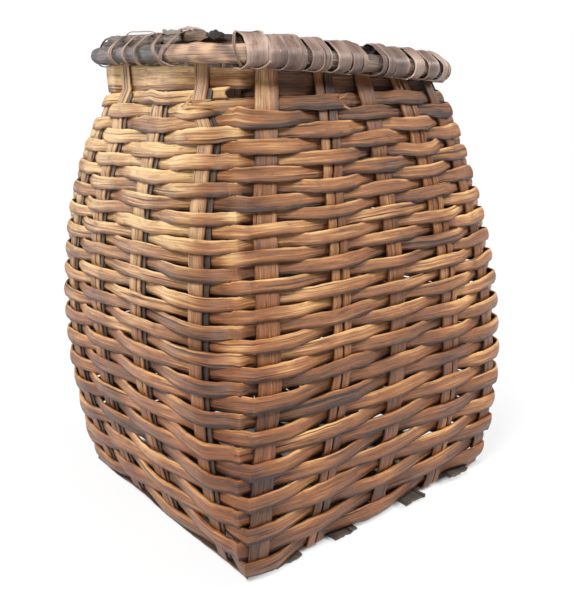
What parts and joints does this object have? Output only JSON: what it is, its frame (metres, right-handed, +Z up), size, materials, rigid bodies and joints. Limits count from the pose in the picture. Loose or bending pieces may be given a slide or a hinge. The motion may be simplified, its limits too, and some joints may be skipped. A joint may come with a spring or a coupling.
{
  "type": "fishing creel",
  "caption": "Creel of flat splints on a square woven foot, with a full belly, an open narrower mouth and a stick rim lashed with bark strip",
  "frame": {"origin": "middle of the standing surface under the woven base", "axes": "+Z up through the mouth, -Y out of the front side, +X to the right of the front side"},
  "size_m": [0.3398, 0.3398, 0.4286],
  "materials": {
    "weaver_splint": "matte",
    "upright_splint": "matte",
    "base_slat": "matte",
    "rim_stick": "matte",
    "rim_splint": "matte",
    "lashing_bark": "matte"
  },
  "bodies": {
    "root": {"base_slat_1": "base_slat", "base_slat_2": "base_slat", "base_slat_3": "base_slat", "base_slat_4": "base_slat", "broken_row_back_left": "weaver_splint", "rim_hoop_inner": "rim_splint", "rim_hoop_outer": "rim_stick", "rim_lashing_front_right": "lashing_bark", "rim_lashing_left_back": "lashing_bark", "rim_splint_back_left": "rim_splint", "rim_splint_front_right": "rim_splint", "upright_front_to_back_1": "upright_splint", "upright_front_to_back_2a": "upright_splint", "upright_front_to_back_2b": "upright_splint", "upright_front_to_back_3": "upright_splint", "upright_front_to_back_4a": "upright_splint", "upright_front_to_back_4b": "upright_splint", "upright_front_to_back_5": "upright_splint", "upright_left_to_right_1": "upright_splint", "upright_left_to_right_2a": "upright_splint", "upright_left_to_right_2b": "upright_splint", "upright_left_to_right_3a": "upright_splint", "upright_left_to_right_3b": "upright_splint", "upright_left_to_right_4": "upright_splint", "weaver_row_01": "weaver_splint", "weaver_row_02": "weaver_splint", "weaver_row_03": "weaver_splint", "weaver_row_04": "weaver_splint", "weaver_row_05": "weaver_splint", "weaver_row_06": "weaver_splint", "weaver_row_07": "weaver_splint", "weaver_row_08": "weaver_splint", "weaver_row_09": "weaver_splint", "weaver_row_10": "weaver_splint", "weaver_row_11": "weaver_splint", "weaver_row_12": "weaver_splint", "weaver_row_13": "weaver_splint", "weaver_row_14": "weaver_splint", "weaver_row_15": "weaver_splint", "weaver_row_16": "weaver_splint", "weaver_row_17": "weaver_splint", "weaver_row_18": "weaver_splint", "weaver_row_19": "weaver_splint", "weaver_row_20": "weaver_splint", "weaver_row_21": "weaver_splint", "weaver_row_22": "weaver_splint", "weaver_row_23": "weaver_splint", "weaver_row_24": "weaver_splint", "weaver_row_25": "weaver_splint", "weaver_row_26": "weaver_splint", "weaver_row_27": "weaver_splint", "weaver_row_28": "weaver_splint", "weaver_row_29": "weaver_splint", "weaver_row_30": "weaver_splint", "weaver_row_31": "weaver_splint", "weaver_row_32": "weaver_splint"}
  },
  "joints": []
}
